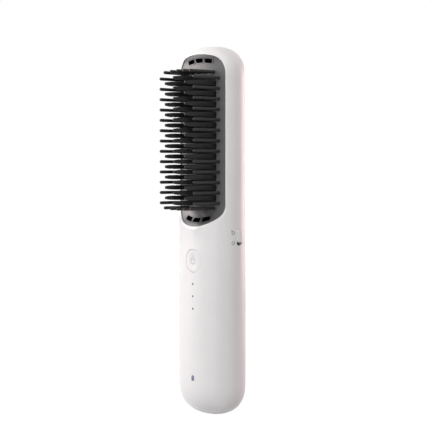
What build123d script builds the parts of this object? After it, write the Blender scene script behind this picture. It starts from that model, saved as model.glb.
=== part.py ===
from build123d import *
import os
from math import acos, atan2, cos, degrees, radians, sin

# A cordless hair straightening brush, standing on its bottom end.
# X is the width with the lock slider on its positive side, the comb faces -Y,
# and Z runs up the handle from the flat around the charging port.

# Housing: an oval stick, parted along its two sides
body_length = 215.0
body_width = 45.7
body_depth = 30.5
side_radius = 13.0
cap_height = 19.0
cap_power = 2.5
cap_steps = 7
end_flat_share = 0.34
wall = 1.9
seam_y = 0.4
lip_height = 1.2
lip_gap = 0.1
back_flat_depth = 0.15
fit_gap = 0.1
flat_gap = 0.05

# Comb bay: a crowned surface cut into the front, rising in an S at both ends
field_y = -9.7
crown_radius = 75.0
bottom_rise = 5.6
top_rise = 0.8
bottom_step_inset = 11.5
bottom_step_run = 17.0
top_step_inset = 5.5
top_step_run = 6.0
rim_step = 0.55
rim_round = 0.5
crease_reach = 0.001

# Outline of the comb plate seen from the front, hung below the top end
head_top_gap = 4.5
plate_half_width = 19.8
plate_bottom_round = 12.8
plate_top_round = 11.8
plate_bottom_corner = 9.5
plate_top_corner = 10.8
plate_thickness = 1.6
ledge_width = 1.8
ledge_thickness = 1.4

# Vents: three slots in an arc at each end of the plate, with a screen in a pocket behind
vent_width = 6.2
vent_height = 2.5
vent_corner = 0.9
vent_pitch = 7.4
vent_rim = 0.55
vent_rim_height = 0.25
vent_lip = 0.6
top_vent_inset = 3.6
top_vent_arc = 55.0
bottom_vent_inset = 3.8
bottom_vent_arc = 34.0
screen_thickness = 0.8
screen_margin = 0.45
screen_lap = 0.9

# Teeth: rows of one centre blade and two guard rods, with paired blades between
row_count = 13
row_pitch = 6.0
top_teeth_margin = 14.2
bottom_teeth_margin = 13.8
blade_thickness = 2.6
blade_root_width = 8.4
blade_tip_width = 1.7
blade_tip_thickness = 1.2
blade_shoulder = 0.68
blade_bulge = 0.15
blade_offset = 8.6
centre_blade_tip_y = -29.9
side_blade_tip_y = -28.8
rod_radius = 0.95
rod_sides = 16
rod_tip_steps = 3
rod_tip_turn = 68.0
rod_offset = 14.7
rod_tip_y = -27.6
rod_gap = 0.15
end_rod_count = 5
end_rod_pitch = 5.6
end_rod_bow = 0.1
top_end_row_gap = 3.9
bottom_end_row_gap = 3.3
end_rod_tip_y = -27.5

# Comb base and the guard strips around it
window_half_width = 13.0
window_margin = 1.4
window_corner = 1.0
comb_drop = 0.3
comb_back_y = -4.9
strip_margin = 0.2

# Heater pack behind the comb
heater_width = 20.0
heater_end_gap = 4.4
heater_thickness = 1.5
clamp_width = 16.0
clamp_end_gap = 4.0
clamp_thickness = 1.0
fuse_radius = 1.2
fuse_length = 10.0
sensor_length = 5.0
sensor_width = 3.0
sensor_thickness = 1.6
frame_inset = 2.4
frame_wall = 1.6
frame_depth = 6.6
shield_thickness = 0.6
shield_margin = 1.5

# Screws
screw_radius = 1.0
screw_head_radius = 1.9
screw_head_height = 1.3
screw_gap = 0.1
boss_radius = 2.6
comb_screw_grip = 2.2
comb_screw_inset = 4.0
plate_screw_grip = 4.0
plate_post_radius = 1.75
frame_screw_length = 6.0
frame_screw_x = 11.0
end_screw_offset = 3.1

# Power button, below the plate
button_drop = 19.9
button_radius = 6.6
button_gap = 0.2
button_dish_radius = 5.2
button_dish_depth = 0.3
button_sink = 0.1
button_flange = 1.0
button_flange_thickness = 0.7
collar_wall = 1.6
collar_depth = 0.95
tact_size = 4.5
tact_height = 1.0
plunger_radius = 1.1
plunger_height = 0.5

# Indicator lights below the button, and the battery mark
light_drop = 13.5
light_pitch = 7.25
light_count = 3
light_radius = 0.6
guide_bar_width = 2.6
guide_bar_thickness = 0.8
guide_bar_margin = 1.8
led_width = 1.6
led_height = 0.6
mark_z = 22.0
mark_width = 2.3
mark_height = 2.7
mark_cap_width = 0.9
mark_cap_height = 0.6
mark_flange = 0.9

# Boards and battery, in the handle below the plate
board_thickness = 1.2
board_space = 3.1
board_half_width = 10.0
board_bottom_z = 17.0
board_drop = 4.5
cell_radius = 9.1
cell_spacing = 18.5
cell_y = 1.2
cell_bottom_z = 21.0
cell_gap = 0.15
link_thickness = 0.3
link_width = 8.0
holder_half_width = 17.0
holder_wall = 2.2
holder_lap = 4.5
holder_shell_gap = 0.3
holder_back_y = 7.5
pad_half_width = 5.5
pad_inset = 9.5
board_screw_length = 4.0
board_screw_x = 5.5
board_screw_low_inset = 13.0
board_screw_high_inset = 3.5

# Ears that fix the battery holder to the rear shell
ear_x = 12.5
ear_radius = 3.2
ear_low_z = 14.0
ear_drop = 15.5
ear_cell_gap = 9.0
ear_thickness = 2.0
ear_screw_length = 7.0

# Charging port
port_width = 8.94
port_height = 3.26
port_length = 7.3
port_wall = 0.3
port_sink = 0.4
port_gap = 0.25
tongue_width = 6.7
tongue_thickness = 0.7
tongue_length = 5.4
tongue_base = 1.6
charge_board_width = 13.0
charge_board_thickness = 1.0
charge_board_bottom_z = 4.2
charge_foot_thickness = 1.6

# Lock slider in the side seam
slot_drop = 10.8
slot_length = 9.8
slot_width = 3.9
slot_y = 0.6
knob_length = 7.8
knob_gap = 0.15
knob_proud = 0.75
knob_depth = 1.9
knob_round = 0.6
carrier_half_width = 2.9
carrier_lap = 2.6
carrier_thickness = 1.0
carrier_inner_gap = 0.65
lever_width = 1.6
fork_length = 1.1
fork_wall = 0.8
switch_length = 9.0
switch_width = 3.6
switch_height = 3.0
lock_board_inset = 8.85
lock_board_thickness = 1.0
lock_board_length = 12.6
lock_board_width = 8.0
lock_rib_thickness = 1.6

# Places worked out from the sizes above
half_width = body_width / 2
half_depth = body_depth / 2
crown_axis_y = field_y + crown_radius
space_front_y = field_y - half_width
inner_front_y = wall - half_depth
board_front_y = inner_front_y + board_space
board_back_y = board_front_y + board_thickness
plate_top_z = body_length - head_top_gap
top_row_z = plate_top_z - top_teeth_margin
bottom_row_z = top_row_z - row_pitch * (row_count - 1)
plate_bottom_z = bottom_row_z - bottom_teeth_margin
top_step_z = plate_top_z - top_step_inset
bottom_step_z = plate_bottom_z + bottom_step_inset
top_vent_z = plate_top_z - top_vent_inset
bottom_vent_z = plate_bottom_z + bottom_vent_inset
top_end_row_z = top_row_z + top_end_row_gap
bottom_end_row_z = bottom_row_z - bottom_end_row_gap
top_screw_z = top_end_row_z + end_screw_offset
bottom_screw_z = bottom_end_row_z - end_screw_offset
window_top_z = top_row_z + window_margin
window_bottom_z = bottom_row_z - window_margin
window_middle_z = (window_top_z + window_bottom_z) / 2
window_length = window_top_z - window_bottom_z
heater_length = window_length - 2 * heater_end_gap
clamp_length = heater_length - 2 * clamp_end_gap
comb_screw_x = (heater_width / 2 + window_half_width) / 2
frame_floor_y = comb_back_y + frame_depth
frame_brim_y = comb_back_y + frame_wall
button_z = plate_bottom_z - button_drop
light_top_z = button_z - light_drop
board_top_z = plate_bottom_z - board_drop
ear_y = comb_back_y
ear_high_z = plate_bottom_z - ear_drop
cell_top_z = ear_high_z - ear_cell_gap
cell_length = cell_top_z - cell_bottom_z
slot_bottom_z = plate_bottom_z - slot_drop
slot_middle_z = slot_bottom_z + slot_length / 2
knob_top_z = slot_bottom_z + slot_length - knob_gap
knob_middle_z = knob_top_z - knob_length / 2
knob_travel = slot_length - knob_length - 2 * knob_gap
lock_board_x = half_width - lock_board_inset
far = body_length


def oval(wide, deep, corner):
    """Oval of four tangent arcs: two side arcs and two broad arcs."""
    broad = ((wide - corner) ** 2 + deep**2 - corner**2) / (2 * (deep - corner))
    offset_y = broad - deep
    spread = degrees(atan2(offset_y, wide - corner))
    arcs = [
        CenterArc((wide - corner, 0), corner, -spread, 2 * spread),
        CenterArc((0, -offset_y), broad, spread, 180 - 2 * spread),
        CenterArc((corner - wide, 0), corner, 180 - spread, 2 * spread),
        CenterArc((0, offset_y), broad, 180 + spread, 180 - 2 * spread),
    ]
    return make_face(Curve() + arcs)


def housing_form(inset=0.0):
    """The stick's full form, drawn in from the outside by an even inset."""
    wide = half_width - inset
    deep = half_depth - inset
    corner = side_radius - inset
    rise = cap_height - inset
    last = acos(end_flat_share ** (cap_power / 2))
    sections = []
    for step in range(cap_steps + 1):
        turn = last * step / cap_steps
        share = cos(turn) ** (2 / cap_power)
        height = (sin(turn) / sin(last)) ** (2 / cap_power)
        z = cap_height - rise * height
        sections.append(Pos(0, 0, z) * oval(wide * share, deep * share, corner * share))
    cap = loft(sections)
    middle = extrude(Pos(0, 0, cap_height) * oval(wide, deep, corner), body_length - 2 * cap_height)
    return cap + middle + mirror(cap, about=Plane.XY.offset(body_length / 2))


def block(x_range, y_range, z_range):
    """Box between pairs of planes."""
    size = [high - low for low, high in (x_range, y_range, z_range)]
    middle = [(high + low) / 2 for low, high in (x_range, y_range, z_range)]
    return Pos(*middle) * Box(*size)


def along_y(shape, front_y, back_y):
    """Extrude a face drawn in the XZ plane between two depths."""
    return extrude(Pos(0, back_y, 0) * (Plane.XZ * shape), back_y - front_y)


def pin_y(x, z, radius, front_y, back_y):
    """Round pin along Y."""
    return along_y(Pos(x, z) * Circle(radius), front_y, back_y)


def outline_end(inset, end_z, rounding, corner, upward):
    """Right corner arc and end arc of the plate's outline, with their join angle."""
    wide = plate_half_width - inset
    rise = rounding - inset
    small = corner - inset
    broad = ((wide - small) ** 2 + rise**2 - small**2) / (2 * (rise - small))
    side_z = end_z - upward * rounding
    centre_z = end_z - upward * (inset + broad)
    join = degrees(atan2(abs(side_z - centre_z), wide - small))
    return wide, small, broad, side_z, centre_z, join


def plate_outline(inset=0.0):
    """The comb plate's outline: straight sides and two rounded ends."""
    wide, small, broad, side, centre, join = outline_end(
        inset, plate_top_z, plate_top_round, plate_top_corner, 1
    )
    low_wide, low_small, low_broad, low_side, low_centre, low_join = outline_end(
        inset, plate_bottom_z, plate_bottom_round, plate_bottom_corner, -1
    )
    edges = [
        Line((wide, low_side), (wide, side)),
        CenterArc((wide - small, side), small, 0, join),
        CenterArc((0, centre), broad, join, 180 - 2 * join),
        CenterArc((small - wide, side), small, 180 - join, join),
        Line((-wide, side), (-wide, low_side)),
        CenterArc((low_small - low_wide, low_side), low_small, 180, low_join),
        CenterArc((0, low_centre), low_broad, 180 + low_join, 180 - 2 * low_join),
        CenterArc((low_wide - low_small, low_side), low_small, -low_join, low_join),
    ]
    return make_face(Curve() + edges)


def step_curve(low, high):
    """S-curve of two equal tangent arcs between two points, level along Z at both."""
    middle = ((low[0] + high[0]) / 2, (low[1] + high[1]) / 2)
    first = TangentArc(low, middle, tangent=(0, 1))
    second = TangentArc(high, middle, tangent=(0, -1))
    return [first, second]


def open_space(depth=0.0):
    """All that lies in front of the comb bay's surface, which is moved in by a depth."""
    bottom_y = field_y - bottom_rise
    top_y = field_y - top_rise
    bottom_pad_z = bottom_step_z - bottom_step_run
    top_pad_z = top_step_z + top_step_run
    above_z = body_length + wall
    edges = [
        Line((space_front_y, bottom_pad_z), (bottom_y, bottom_pad_z)),
        *step_curve((bottom_y, bottom_pad_z), (field_y, bottom_step_z)),
        Line((field_y, bottom_step_z), (field_y, top_step_z)),
        *step_curve((field_y, top_step_z), (top_y, top_pad_z)),
        Line((top_y, top_pad_z), (top_y, above_z)),
        Line((top_y, above_z), (space_front_y, above_z)),
        Line((space_front_y, above_z), (space_front_y, bottom_pad_z)),
    ]
    profile = Plane.YZ * make_face(Curve() + edges)
    axis = Axis((0, crown_axis_y, 0), (0, 0, 1))
    sweep_angle = 2 * degrees(atan2(body_width, crown_radius))
    swept = revolve(profile, axis=axis, revolution_arc=sweep_angle)
    return Pos(0, depth, 0) * swept.rotate(axis, -sweep_angle / 2)


def plate_prism(inset=0.0, back_y=0.0):
    """The plate's outline extruded from well in front of the brush to a depth."""
    return along_y(plate_outline(inset), -body_width, back_y)


def vent_places(middle_z, arc, upward):
    """Centres and tilts of three slots on an arc that follows the plate's end."""
    places = []
    for index in (-1, 0, 1):
        tilt = degrees(atan2(index * vent_pitch, arc))
        x = arc * sin(radians(tilt))
        z = middle_z - upward * arc * (1 - cos(radians(tilt)))
        places.append((x, z, -upward * tilt))
    return places


def vent_ends():
    """Middle height, arc and direction of the vents at each end."""
    return [(top_vent_z, top_vent_arc, 1), (bottom_vent_z, bottom_vent_arc, -1)]


def vent_bed(middle_z, arc, upward, grow=0.0):
    """Joined prism behind three slots, for their screen and, grown, for its pocket."""
    wide = vent_width + 2 * (screen_lap + grow)
    tall = vent_height + 2 * (screen_margin + grow)
    faces = Sketch()
    for x, z, tilt in vent_places(middle_z, arc, upward):
        faces += Pos(x, z) * (Rot(0, 0, tilt) * RectangleRounded(wide, tall, vent_corner))
    return along_y(faces, -half_depth, 0)


def rod_rows():
    """Heights of the long rows of teeth."""
    return [top_row_z - row_pitch * index for index in range(row_count)]


def side_rods():
    return [(rod_offset, z) for z in rod_rows()]


def end_rods(row_z, upward):
    """Five rods in a slight bow across one end of the teeth."""
    places = []
    for index in range(end_rod_count):
        step = index - (end_rod_count - 1) / 2
        places.append((step * end_rod_pitch, row_z - upward * end_rod_bow * step**2))
    return places


def guard_places():
    """Every guard rod's place in the plate."""
    left = [(-x, z) for x, z in side_rods()]
    ends = end_rods(top_end_row_z, 1) + end_rods(bottom_end_row_z, -1)
    return left + side_rods() + ends


def bay_form(outer):
    """The outer form with the comb bay cut into it and the crease round the bay rounded."""
    space = open_space(-rim_step)
    cut = outer - space
    skins = (outer.shells()[0], space.shells()[0])
    crease = cut.edges().filter_by(
        lambda edge: all(skin.distance_to(edge @ 0.5) < crease_reach for skin in skins)
    )
    return fillet(crease, rim_round)


def front_shell(outer, inner):
    """Front half with the comb bay, its ledge, the button collar and small openings."""
    front_half = block((-far, far), (-far, seam_y), (-far, 2 * far))
    shell = (bay_form(outer) - inner) & front_half
    shell -= plate_prism()
    ledge = (plate_prism(-wall) - plate_prism(ledge_width)) & inner
    ledge = ledge & (open_space(plate_thickness + ledge_thickness) - open_space(plate_thickness))
    hole_radius = button_radius + button_gap
    collar = pin_y(0, button_z, hole_radius + collar_wall, -far, inner_front_y + collar_depth)
    shell = shell + ledge + (collar & inner)
    lip_zone = block((-far, far), (seam_y - lip_height - lip_gap, far), (-far, 2 * far))
    shell -= lip_zone & housing_form(wall / 2 - lip_gap / 2)
    shell -= pin_y(0, button_z, hole_radius, -far, 0)
    for z in light_places():
        shell -= pin_y(0, z, light_radius + flat_gap, -far, 0)
    shell -= along_y(mark_outline(flat_gap), -far, 0)
    shell -= port_opening() + slot_opening()
    return shell


def rear_shell(outer, inner):
    """Rear half with its seam lip, screw bosses and a narrow flat to lie on."""
    rear_half = block((-far, far), (seam_y, far), (-far, 2 * far))
    lip_zone = block((-far, far), (seam_y - lip_height, seam_y + wall), (-far, 2 * far))
    lip = (housing_form(wall / 2 + lip_gap / 2) - inner) & lip_zone
    shell = ((outer - inner) & rear_half) + lip
    shell -= block((-far, far), (half_depth - back_flat_depth, far), (-far, 2 * far))
    for x, z, seat_y in boss_places():
        boss = pin_y(x, z, boss_radius, seat_y, far) & (inner + lip)
        shell = shell + boss
        shell -= pin_y(x, z, screw_radius + screw_gap, seat_y - wall, seat_y + ear_screw_length)
    shell -= port_opening() + slot_opening()
    return shell


def boss_places():
    """Rear bosses: x, z and the depth of their seats."""
    frame = [(x, z, frame_brim_y) for x, z in frame_screw_places()]
    return frame + [(x, z, ear_y) for x, z in ear_places()]


def comb_plate():
    """Crowned cover with a window for the heated comb, holes for the rods and vents."""
    plate = plate_prism(fit_gap) & open_space(plate_thickness)
    plate -= open_space()
    rims = Part()
    slots = Part()
    wide = vent_width + 2 * vent_rim
    tall = vent_height + 2 * vent_rim
    for end in vent_ends():
        for x, z, tilt in vent_places(*end):
            place = Pos(x, z) * Rot(0, 0, tilt)
            rim = place * RectangleRounded(wide, tall, vent_corner + vent_rim)
            rims += along_y(rim, -half_depth, 0)
            slot = place * RectangleRounded(vent_width, vent_height, vent_corner)
            slots += along_y(slot, -far, 0)
    plate += rims & (open_space(vent_lip) - open_space(-vent_rim_height))
    plate -= slots
    for end in vent_ends():
        plate -= vent_bed(*end, fit_gap) - open_space(vent_lip)
    window = Pos(0, window_middle_z) * RectangleRounded(
        2 * window_half_width, window_length, window_corner
    )
    plate -= along_y(window, -far, 0)
    plate -= [rod_pin(x, z, rod_radius + rod_gap, -half_depth, 0) for x, z in guard_places()]
    for x, z in plate_posts():
        post = pin_y(x, z, plate_post_radius, -half_depth, comb_back_y)
        plate += post - open_space(plate_thickness / 2)
        plate -= pin_y(x, z, screw_radius + screw_gap, comb_back_y - plate_screw_grip, comb_back_y)
    return plate


def plate_posts():
    return [(0, z) for z in (bottom_screw_z, top_screw_z)]


def blade(tip_y):
    """Leaf-shaped blade: tapered in width and drawn to a thin rounded tip."""
    root_y = comb_back_y - comb_drop
    shoulder_y = root_y + (tip_y - root_y) * blade_shoulder
    half_root = blade_root_width / 2
    half_tip = blade_tip_width / 2
    plan = make_face(
        Curve()
        + [
            Line((-half_root, root_y), (half_root, root_y)),
            Line((half_root, root_y), (half_root, field_y)),
            ThreePointArc(
                (half_root, field_y),
                ((half_root + half_tip) / 2 + blade_bulge, (field_y + tip_y + half_tip) / 2),
                (half_tip, tip_y + half_tip),
            ),
            ThreePointArc((half_tip, tip_y + half_tip), (0, tip_y), (-half_tip, tip_y + half_tip)),
            ThreePointArc(
                (-half_tip, tip_y + half_tip),
                (-(half_root + half_tip) / 2 - blade_bulge, (field_y + tip_y + half_tip) / 2),
                (-half_root, field_y),
            ),
            Line((-half_root, field_y), (-half_root, root_y)),
        ]
    )
    half_thick = blade_thickness / 2
    half_point = blade_tip_thickness / 2
    edge = make_face(
        Curve()
        + [
            Line((root_y, -half_thick), (root_y, half_thick)),
            Line((root_y, half_thick), (shoulder_y, half_thick)),
            TangentArc((shoulder_y, half_thick), (tip_y, half_point), tangent=(-1, 0)),
            Line((tip_y, half_point), (tip_y, -half_point)),
            TangentArc((shoulder_y, -half_thick), (tip_y, -half_point), tangent=(-1, 0)),
            Line((shoulder_y, -half_thick), (root_y, -half_thick)),
        ]
    )
    flat = extrude(plan, half_thick, both=True)
    return flat & extrude(Plane.YZ * edge, half_root, both=True)


def blade_places():
    """Centre blades in the long rows and paired blades halfway between them."""
    centre = [(0, z, centre_blade_tip_y) for z in rod_rows()]
    paired = []
    for z in rod_rows()[:-1]:
        for side in (-1, 1):
            paired.append((side * blade_offset, z - row_pitch / 2, side_blade_tip_y))
    return centre + paired


def heating_comb():
    """Cast comb: a crowned base that fills the window, with its blades."""
    gap = rod_gap
    base_face = Pos(0, window_middle_z) * RectangleRounded(
        2 * (window_half_width - gap), window_length - 2 * gap, window_corner
    )
    comb = along_y(base_face, -half_depth, comb_back_y) - open_space(comb_drop)
    shapes = {tip_y: blade(tip_y) for tip_y in (centre_blade_tip_y, side_blade_tip_y)}
    comb += [Pos(x, 0, z) * shapes[tip_y] for x, z, tip_y in blade_places()]
    for x, z in comb_screw_places():
        comb -= pin_y(x, z, screw_radius + screw_gap, comb_back_y - comb_screw_grip, comb_back_y)
    return comb


def comb_screw_places():
    """Screws near the comb's corners, beside the heater."""
    return [
        (side * comb_screw_x, z)
        for side in (-1, 1)
        for z in (window_bottom_z + comb_screw_inset, window_top_z - comb_screw_inset)
    ]


def rod_pin(x, z, radius, front_y, back_y):
    """Many-sided pin along Y, for the rods and their holes."""
    return along_y(Pos(x, z) * RegularPolygon(radius, rod_sides), front_y, back_y)


def rod(tip_y):
    """Guard rod: a straight pin whose round tip closes in steps."""
    rings = []
    for step in range(rod_tip_steps + 1):
        turn = radians(rod_tip_turn * step / rod_tip_steps)
        y = tip_y + rod_radius * (1 - sin(turn) / sin(radians(rod_tip_turn)))
        ring = RegularPolygon(rod_radius * cos(turn), rod_sides)
        rings.append(Pos(0, y, 0) * (Plane.XZ * ring))
    return rod_pin(0, 0, rod_radius, tip_y + rod_radius, comb_back_y) + loft(rings, ruled=True)


def guard_strip(places, tip_y, bar):
    """Bar under the comb plate with rods standing through it."""
    strip = bar - open_space(plate_thickness + flat_gap)
    pin = rod(tip_y)
    return strip + [Pos(x, 0, z) * pin for x, z in places]


def side_strip(side):
    inner_x = window_half_width - rod_gap + fit_gap
    outer_x = 2 * rod_offset - inner_x
    x_range = sorted((side * inner_x, side * outer_x))
    bar = block(x_range, (-half_depth, comb_back_y), (window_bottom_z, window_top_z))
    return guard_strip([(side * x, z) for x, z in side_rods()], rod_tip_y, bar)


def end_strip(row_z, upward):
    reach = end_rod_pitch * (end_rod_count - 1) / 2 + rod_radius + strip_margin
    window_edge = window_top_z if upward > 0 else window_bottom_z
    inner_z = window_edge + upward * fit_gap
    outer_z = row_z + upward * (rod_radius + strip_margin)
    bar = block((-reach, reach), (-half_depth, comb_back_y), sorted((inner_z, outer_z)))
    return guard_strip(end_rods(row_z, upward), end_rod_tip_y, bar)


def vent_screen(middle_z, arc, upward):
    """Dark screen in the plate's pocket, which closes the slots from behind."""
    front = open_space(vent_lip + flat_gap)
    sheet = open_space(vent_lip + flat_gap + screen_thickness) - front
    return vent_bed(middle_z, arc, upward) & sheet


def head_frame():
    """Heat-proof tray: a brim under the plate and a well that holds the heater pack."""
    brim = along_y(plate_outline(frame_inset), comb_back_y, frame_brim_y)
    well_x = window_half_width - rod_gap
    well_z = (window_bottom_z, window_top_z)
    well = block((-well_x, well_x), (comb_back_y, frame_floor_y), well_z)
    inner_x = heater_width / 2 + fit_gap
    half_heater = heater_length / 2 + fit_gap
    pocket = block(
        (-inner_x, inner_x),
        (comb_back_y, frame_floor_y - frame_wall),
        (window_middle_z - half_heater, window_middle_z + half_heater),
    )
    frame = brim + well - pocket
    for x, z in comb_screw_places():
        frame -= pin_y(x, z, screw_radius + screw_gap, comb_back_y, frame_floor_y)
        frame -= pin_y(x, z, screw_head_radius + screw_gap, comb_back_y + frame_wall, frame_floor_y)
    for x, z in plate_posts() + frame_screw_places():
        frame -= pin_y(x, z, screw_radius + screw_gap, comb_back_y, frame_brim_y)
    return frame


def frame_screw_places():
    return [(side * frame_screw_x, z) for side in (-1, 1) for z in (bottom_screw_z, top_screw_z)]


def heat_shield():
    """Mica sheet on the back of the tray."""
    reach_x = clamp_width / 2 + shield_margin
    low = window_bottom_z + shield_margin
    high = window_top_z - shield_margin
    return block((-reach_x, reach_x), (frame_floor_y, frame_floor_y + shield_thickness), (low, high))


def heater_plate():
    reach_x = heater_width / 2
    reach_z = heater_length / 2
    z_range = (window_middle_z - reach_z, window_middle_z + reach_z)
    return block((-reach_x, reach_x), (comb_back_y, comb_back_y + heater_thickness), z_range)


def heater_clamp():
    """Sheet that presses the heater to the comb."""
    front_y = comb_back_y + heater_thickness
    z_range = (window_middle_z - clamp_length / 2, window_middle_z + clamp_length / 2)
    return block((-clamp_width / 2, clamp_width / 2), (front_y, front_y + clamp_thickness), z_range)


def thermal_fuse():
    y = comb_back_y + heater_thickness + clamp_thickness + fuse_radius
    z = window_middle_z - fuse_length
    return Pos(0, y, z) * Cylinder(fuse_radius, fuse_length)


def temperature_sensor():
    front_y = comb_back_y + heater_thickness + clamp_thickness
    z_range = (window_middle_z + sensor_length, window_middle_z + 2 * sensor_length)
    return block((-sensor_width / 2, sensor_width / 2), (front_y, front_y + sensor_thickness), z_range)


def screw(x, z, seat_y, length, forward):
    """Pan-head screw along Y, with its head seated at a depth."""
    tip_y = seat_y + forward * length
    head_y = seat_y - forward * screw_head_height
    shank = pin_y(x, z, screw_radius, *sorted((seat_y, tip_y)))
    return shank + pin_y(x, z, screw_head_radius, *sorted((seat_y, head_y)))


def comb_screws():
    seat_y = comb_back_y + frame_wall
    length = frame_wall + comb_screw_grip - fit_gap
    return [screw(x, z, seat_y, length, -1) for x, z in comb_screw_places()]


def plate_screws():
    length = frame_wall + plate_screw_grip - 2 * fit_gap
    return [screw(x, z, frame_brim_y, length, -1) for x, z in plate_posts()]


def frame_screws():
    return [screw(x, z, comb_back_y, frame_screw_length, 1) for x, z in frame_screw_places()]


def power_button(outer):
    """Dished cap with a flange that is held behind the collar."""
    seat_y = inner_front_y + collar_depth
    cap = pin_y(0, button_z, button_radius, -far, seat_y + button_flange_thickness)
    cap = cap & (Pos(0, button_sink, 0) * outer)
    dish_ball = (button_dish_radius**2 + button_dish_depth**2) / (2 * button_dish_depth)
    face_y = button_sink - half_depth
    cap -= Pos(0, face_y + button_dish_depth - dish_ball, button_z) * Sphere(dish_ball)
    flange_front = seat_y + flat_gap
    flange_back = seat_y + button_flange_thickness
    return cap + pin_y(0, button_z, button_radius + button_flange, flange_front, flange_back)


def switch_plunger():
    """Plunger of the momentary switch, which the cap pushes."""
    front_y = inner_front_y + collar_depth + button_flange_thickness
    back_y = board_front_y - tact_height + plunger_height
    return pin_y(0, button_z, plunger_radius, front_y, back_y)


def power_switch():
    """Momentary switch on the board, with the well its plunger runs in."""
    reach = tact_size / 2
    z_range = (button_z - reach, button_z + reach)
    body = block((-reach, reach), (board_front_y - tact_height, board_front_y), z_range)
    return body - pin_y(0, button_z, plunger_radius + flat_gap, -far, board_front_y - flat_gap)


def light_places():
    return [light_top_z - light_pitch * index for index in range(light_count)]


def guide_back_y():
    return inner_front_y + fit_gap + guide_bar_thickness


def light_guide(outer):
    """Three light pipes on one bar behind the front wall."""
    places = light_places()
    low = places[-1] - guide_bar_margin
    high = places[0] + guide_bar_margin
    reach = guide_bar_width / 2
    guide = block((-reach, reach), (inner_front_y + fit_gap, guide_back_y()), (low, high))
    for z in places:
        guide += pin_y(0, z, light_radius, -far, guide_back_y()) & outer
    return guide


def indicator_lights():
    """Lamps on the board behind the light pipes and the battery mark."""
    reach = led_width / 2
    lamps = []
    for z in light_places() + [mark_z]:
        z_range = (z - led_height, z + led_height)
        lamps.append(block((-reach, reach), (guide_back_y() + flat_gap, board_front_y), z_range))
    return lamps


def mark_outline(grow=0.0):
    """Battery mark: an upright cell with a narrow cap."""
    total = mark_height + mark_cap_height
    bottom = mark_z - total / 2
    body = Pos(0, bottom + mark_height / 2) * Rectangle(mark_width + 2 * grow, mark_height + 2 * grow)
    cap_z = bottom + mark_height + mark_cap_height / 2
    cap = Pos(0, cap_z) * Rectangle(mark_cap_width + 2 * grow, mark_cap_height + 2 * grow)
    return body + cap


def battery_mark(outer):
    """Clear insert in the shape of the battery mark, with a flange behind the wall."""
    flange_front = inner_front_y + fit_gap
    flange = block(
        (-mark_width / 2 - mark_flange, mark_width / 2 + mark_flange),
        (flange_front, guide_back_y()),
        (mark_z - mark_height / 2 - mark_flange, mark_z + mark_height / 2 + mark_flange),
    )
    return (along_y(mark_outline(), -far, guide_back_y()) & outer) + flange


def board_screw_places():
    high_z = board_top_z - board_screw_high_inset
    high = [(side * board_screw_x, high_z) for side in (-1, 1)]
    return high + [(0, board_bottom_z + board_screw_low_inset)]


def main_board():
    """Long circuit board behind the button and lights."""
    z_range = (board_bottom_z, board_top_z)
    board = block((-board_half_width, board_half_width), (board_front_y, board_back_y), z_range)
    for x, z in board_screw_places():
        board -= pin_y(x, z, screw_radius + screw_gap, -far, 0)
    return board


def board_screws():
    return [screw(x, z, board_front_y, board_screw_length, 1) for x, z in board_screw_places()]


def battery_cell(side, grow=0.0):
    length = cell_length + 2 * grow
    x = side * cell_spacing / 2
    return Pos(x, cell_y, cell_bottom_z + cell_length / 2) * Cylinder(cell_radius + grow, length)


def battery_holder():
    """Cradle between the board and the cells, with end walls, ears and board seats."""
    inside = housing_form(wall + holder_shell_gap)
    low = cell_bottom_z - link_thickness - cell_gap - holder_wall
    high = cell_top_z + link_thickness + cell_gap + holder_wall
    cradle = block(
        (-holder_half_width, holder_half_width), (board_back_y, board_back_y + holder_lap), (low, high)
    )
    for wall_low in (low, high - holder_wall):
        z_range = (wall_low, wall_low + holder_wall)
        cradle += block((-holder_half_width, holder_half_width), (board_back_y, holder_back_y), z_range)
    seat_plate = block(
        (-board_half_width, board_half_width), (board_back_y, board_back_y + frame_wall), (low, board_top_z)
    )
    holder = cradle + seat_plate + holder_ears(low, high) + charge_foot(low) + lock_rib()
    holder = holder & inside
    for side in (-1, 1):
        holder -= battery_cell(side, cell_gap)
    holder -= cell_link(1) + cell_link(-1)
    for x, z in board_screw_places():
        holder -= pin_y(x, z, screw_radius + screw_gap, -far, board_front_y + board_screw_length + fit_gap)
    for x, z in ear_places():
        holder -= pin_y(x, z, screw_radius + screw_gap, -far, 0)
    return holder


def ear_places():
    return [(side * ear_x, z) for side in (-1, 1) for z in (ear_low_z, ear_high_z)]


def holder_ears(low, high):
    """Four ears that sit on the rear shell's bosses."""
    ears = Part()
    for side in (-1, 1):
        for z, edge in ((ear_low_z, low), (ear_high_z, high)):
            ears += pin_y(side * ear_x, z, ear_radius, ear_y - ear_thickness, ear_y)
            z_range = sorted((z, edge))
            x_range = (side * ear_x - ear_radius, side * ear_x + ear_radius)
            ears += block(x_range, (ear_y - ear_thickness, ear_y), z_range)
    return ears


def port_back_y():
    return seam_y + port_height / 2


def charge_foot(low):
    """Foot below the lower end wall that carries the charging board."""
    front_y = port_back_y() + charge_board_thickness
    reach = charge_board_width / 2
    z_range = (charge_board_bottom_z + holder_wall, low + holder_wall)
    return block((-reach, reach), (front_y, front_y + charge_foot_thickness), z_range)


def lock_rib():
    """Rib that carries the lock switch's board beside the slot."""
    half = lock_board_length / 2
    x_range = (lock_board_x - lock_rib_thickness, lock_board_x)
    back_y = slot_y + lock_board_width / 2
    low = slot_middle_z - half
    shelf_x = (board_half_width - frame_wall, lock_board_x)
    shelf = block(shelf_x, (board_back_y, board_back_y + frame_wall), (low, board_top_z))
    root = block(x_range, (board_back_y, back_y), (low, board_top_z))
    tip = block(x_range, (slot_y - lock_board_width / 2, back_y), (board_top_z, slot_middle_z + half))
    return shelf + root + tip


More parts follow.
